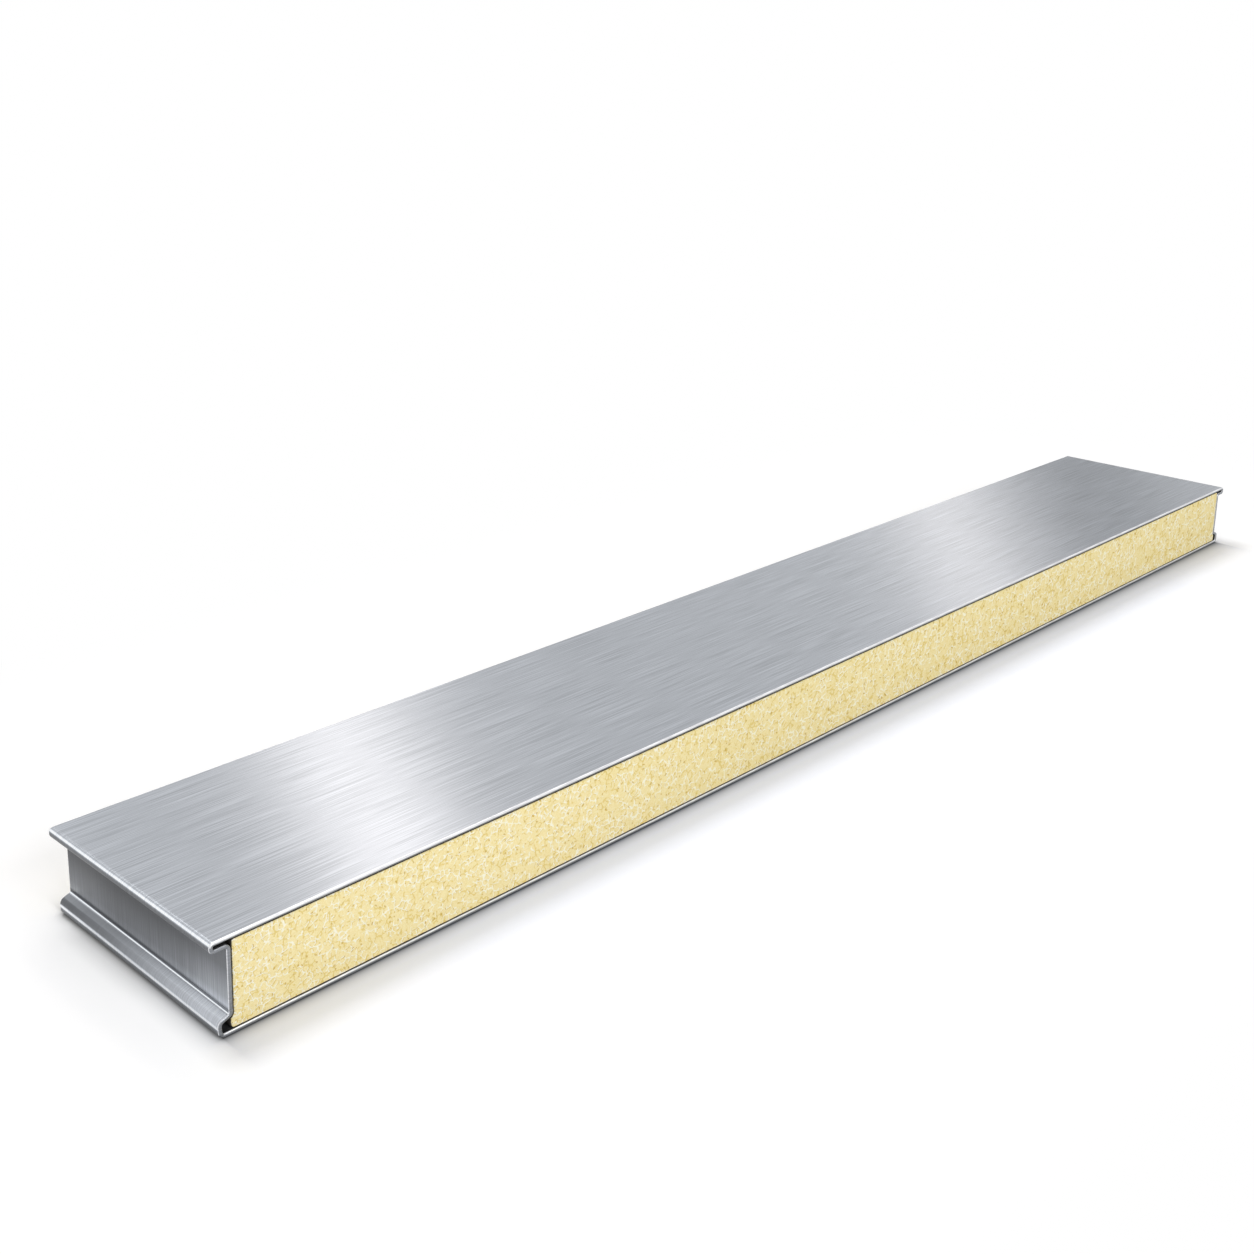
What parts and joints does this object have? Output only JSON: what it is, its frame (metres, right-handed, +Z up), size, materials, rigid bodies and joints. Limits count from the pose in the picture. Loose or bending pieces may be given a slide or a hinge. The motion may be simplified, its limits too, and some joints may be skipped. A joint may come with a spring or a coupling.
{
  "type": "insulated sandwich panel",
  "caption": "Strip of insulated wall panel: brushed steel skins over a rigid foam core, with a groove between hollow lips at each short end.",
  "frame": {"origin": "middle of the underside, on the floor that the panel lies on", "axes": "+X across the cover width, from one lipped end to the other; +Y along the lips, square to the saw-cut faces; +Z up, from the bottom skin to the top skin"},
  "size_m": [1, 0.15, 0.05],
  "materials": {
    "skin_steel": "brushed",
    "core_foam": "open-cell saw cut"
  },
  "bodies": {
    "root": {"top_skin": "skin_steel", "bottom_skin": "skin_steel", "foam_core": "core_foam"}
  },
  "joints": []
}
